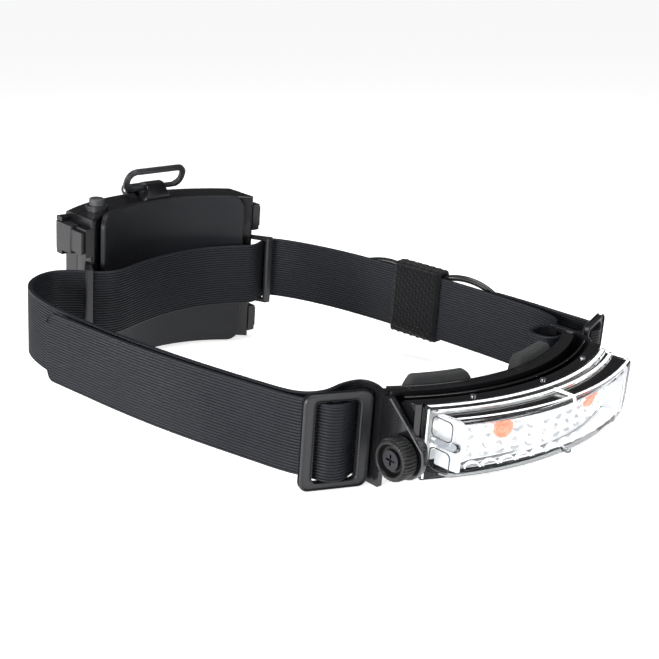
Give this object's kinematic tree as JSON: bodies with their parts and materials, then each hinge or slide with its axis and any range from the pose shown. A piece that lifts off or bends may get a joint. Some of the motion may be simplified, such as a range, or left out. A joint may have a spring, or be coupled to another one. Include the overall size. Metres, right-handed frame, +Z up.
{
  "type": "headlamp",
  "caption": "Wide curved LED head lamp that tilts between two knobs on a padded bracket, with a ribbed head strap, slide buckles and a hinged rear battery pack.",
  "frame": {"origin": "on the surface it stands on, under the middle of its bounding box", "axes": "-Y is the way the lamp shines, +Z is up, +X runs along the lamp; left and right in the names are as seen from the front, left towards -X"},
  "size_m": [0.1944, 0.2641, 0.0915],
  "materials": {
    "housing_gloss": "glossy black moulded plastic",
    "bracket_gloss": "glossy black moulded plastic",
    "lens_clear": "clear polished plastic",
    "reflector_silver": "metallised bright",
    "led_white": "clear dome over yellow phosphor",
    "led_amber": "amber dome",
    "board_white": "white solder mask",
    "board_green": "green solder mask",
    "seal_rubber": "matte",
    "steel": "bright zinc plated",
    "brass": "turned",
    "knob_black": "satin black moulded plastic, knurled",
    "screw_black": "black oxide",
    "buckle_black": "satin black moulded plastic",
    "pad_felt": "dark grey felt",
    "strap_silicone": "ribbed, satin",
    "wrap_cloth": "woven hook and loop",
    "plate_satin": "satin black",
    "case_black": "black, half gloss",
    "latch_black": "satin black",
    "button_grey": "grey rubbery cap",
    "collar_black": "satin black",
    "loop_black": "black coated wire",
    "cell_jacket": "plain printed sleeve",
    "nickel": "nickel plated",
    "switch_black": "moulded",
    "cable_black": "smooth satin jacket"
  },
  "bodies": {
    "head_band": {"buckle_left": "buckle_black", "buckle_right": "buckle_black", "button_collar": "collar_black", "cable_clip": "buckle_black", "cable_wrap": "wrap_cloth", "cell_1": "cell_jacket", "cell_2": "cell_jacket", "cell_3": "cell_jacket", "cell_4": "cell_jacket", "contact_springs": "nickel", "contact_strips": "nickel", "forehead_pad_left": "pad_felt", "forehead_pad_right": "pad_felt", "front_bracket": "bracket_gloss", "hinge_pin": "steel", "lamp_cable": "cable_black", "pack_gland": "seal_rubber", "pack_plate": "plate_satin", "pack_tray": "case_black", "push_switch": "switch_black", "strap_left_end": "strap_silicone", "strap_loop_left": "buckle_black", "strap_loop_right": "buckle_black", "strap_rear_run": "strap_silicone", "strap_right_end": "strap_silicone", "switch_board": "board_green", "tilt_washer_left": "nickel", "tilt_washer_right": "nickel"},
    "lamp": {"lamp_housing": "housing_gloss", "lamp_lens": "lens_clear", "lens_gasket": "seal_rubber", "led_board": "board_white", "led_reflector": "reflector_silver", "white_leds": "led_white", "amber_leds": "led_amber", "housing_screws": "steel", "pivot_insert_left": "brass", "pivot_insert_right": "brass", "lamp_boot": "seal_rubber"},
    "knob_left": {"tilt_knob_left": "knob_black", "knob_screw_left": "screw_black"},
    "knob_right": {"tilt_knob_right": "knob_black", "knob_screw_right": "screw_black"},
    "button": {"push_button": "button_grey"},
    "hanging_loop": {"hanging_loop": "loop_black"},
    "cover": {"battery_cover": "case_black", "cover_gasket": "seal_rubber", "latch_pins": "steel"},
    "latch_right_upper": {"latch_right_upper": "latch_black"},
    "latch_right_lower": {"latch_right_lower": "latch_black"},
    "latch_left_upper": {"latch_left_upper": "latch_black"},
    "latch_left_lower": {"latch_left_lower": "latch_black"}
  },
  "joints": [
    {"name": "lamp_tilt", "type": "hinge", "parent": "head_band", "child": "lamp", "pos_m": [0.00884, -0.10305, 0.01573], "axis": [1, 0, 0], "range_deg": [-10, 30]},
    {"name": "knob_left_turn", "type": "hinge", "parent": "head_band", "child": "knob_left", "pos_m": [0.00884, -0.10305, 0.01573], "axis": [1, 0, 0], "continuous": true},
    {"name": "knob_right_turn", "type": "hinge", "parent": "head_band", "child": "knob_right", "pos_m": [0.00884, -0.10305, 0.01573], "axis": [1, 0, 0], "continuous": true},
    {"name": "button_press", "type": "slide", "parent": "head_band", "child": "button", "axis": [0, 0.1024, -0.9947], "range_m": [0, 0.0012], "stiffness_N_per_m": 800, "springref_m": -0.0005},
    {"name": "hanging_loop_swing", "type": "hinge", "parent": "head_band", "child": "hanging_loop", "pos_m": [-0.00216, 0.10872, 0.08156], "axis": [1, 0, 0], "range_deg": [-85, 65]},
    {"name": "cover_hinge", "type": "hinge", "parent": "head_band", "child": "cover", "pos_m": [-0.00216, 0.11833, 0.07994], "axis": [1, 0, 0], "range_deg": [0, 100]},
    {"name": "latch_right_upper_turn", "type": "hinge", "parent": "cover", "child": "latch_right_upper", "pos_m": [0.04804, 0.11151, 0.03882], "axis": [0, -0.1024, 0.9947], "range_deg": [0, 60]},
    {"name": "latch_right_lower_turn", "type": "hinge", "parent": "cover", "child": "latch_right_lower", "pos_m": [0.04804, 0.11151, 0.03882], "axis": [0, -0.1024, 0.9947], "range_deg": [0, 60]},
    {"name": "latch_left_upper_turn", "type": "hinge", "parent": "cover", "child": "latch_left_upper", "pos_m": [-0.05236, 0.11151, 0.03882], "axis": [0, -0.1024, 0.9947], "range_deg": [-60, 0]},
    {"name": "latch_left_lower_turn", "type": "hinge", "parent": "cover", "child": "latch_left_lower", "pos_m": [-0.05236, 0.11151, 0.03882], "axis": [0, -0.1024, 0.9947], "range_deg": [-60, 0]}
  ]
}
